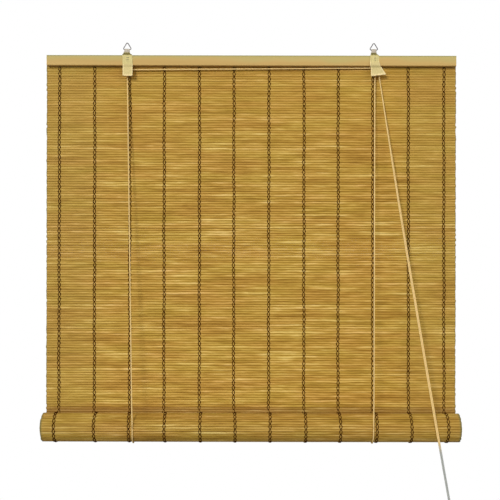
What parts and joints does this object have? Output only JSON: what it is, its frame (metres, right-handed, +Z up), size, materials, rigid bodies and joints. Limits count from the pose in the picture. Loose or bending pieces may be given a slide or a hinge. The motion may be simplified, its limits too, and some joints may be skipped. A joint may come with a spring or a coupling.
{
  "type": "bamboo roll up blind",
  "caption": "Split bamboo window blind, woven with dark warps, hung by tape tabs with wire rings and rolled up part of the way by a looped pull cord.",
  "frame": {"origin": "middle of the wall face of the head", "axes": "+X to the right for someone in the room, +Y into the wall, +Z up"},
  "size_m": [0.8, 0.0788, 0.9109],
  "materials": {
    "rail_wood": "smooth pale batten, dull",
    "bamboo": "split bamboo, satin streaks",
    "pole_wood": "turned wood, dull",
    "dark_thread": "twisted cotton, dull",
    "cream_tape": "twill tape, dull",
    "cream_cord": "braided cotton, dull",
    "ring_wire": "grey wire, satin",
    "steel_wire": "zinc plated"
  },
  "bodies": {
    "head": {"head_rail": "rail_wood", "back_lath": "rail_wood", "lath_nails": "steel_wire", "slat_mat": "bamboo", "warp_threads": "dark_thread", "tape_tab_left": "cream_tape", "tape_tab_right": "cream_tape", "tab_staples": "steel_wire", "cord_guide_left": "steel_wire", "cord_guide_right": "steel_wire", "anchor_knots": "cream_cord", "cross_cord": "cream_cord", "lift_cord_left_front": "cream_cord", "lift_cord_left_back": "cream_cord", "lift_cord_right_front": "cream_cord", "lift_cord_right_back": "cream_cord", "lift_cord_right_turn": "cream_cord"},
    "ring_left": {"hang_ring_left": "ring_wire"},
    "ring_right": {"hang_ring_right": "ring_wire"},
    "lift": {"lift_cord_left_loop": "cream_cord", "lift_cord_right_loop": "cream_cord"},
    "roll": {"rolled_mat": "bamboo", "roll_warp_threads": "dark_thread", "bottom_pole": "pole_wood"},
    "pull": {"pull_cord_left": "cream_cord", "pull_cord_right": "cream_cord", "pull_knot": "cream_cord"}
  },
  "joints": [
    {"name": "lift", "type": "slide", "parent": "head", "child": "lift", "axis": [0, 0, 1], "range_m": [0, 0.589], "deforming": ["slat_mat", "warp_threads", "lift_cord_left_front", "lift_cord_right_front", "lift_cord_left_back", "lift_cord_right_back"]},
    {"name": "roll_turn", "type": "hinge", "parent": "lift", "child": "roll", "pos_m": [0, -0.0341, -0.70934], "axis": [1, 0, 0], "range_deg": [-1085, 0]},
    {"name": "pull_swing", "type": "hinge", "parent": "head", "child": "pull", "pos_m": [0.2467, -0.01515, -0.01556], "axis": [1, 0, 0], "range_deg": [-24, 0]},
    {"name": "ring_left_swing", "type": "hinge", "parent": "head", "child": "ring_left", "pos_m": [-0.2423, -0.012, 0.0224], "axis": [1, 0, 0], "range_deg": [-55, 90]},
    {"name": "ring_right_swing", "type": "hinge", "parent": "head", "child": "ring_right", "pos_m": [0.2387, -0.012, 0.0224], "axis": [1, 0, 0], "range_deg": [-55, 90]}
  ],
  "couplings": [
    {"joint": "roll_turn", "follows": "lift", "rad_per_m": -32},
    {"joint": "pull_swing", "follows": "lift", "rad_per_m": -0.696}
  ]
}
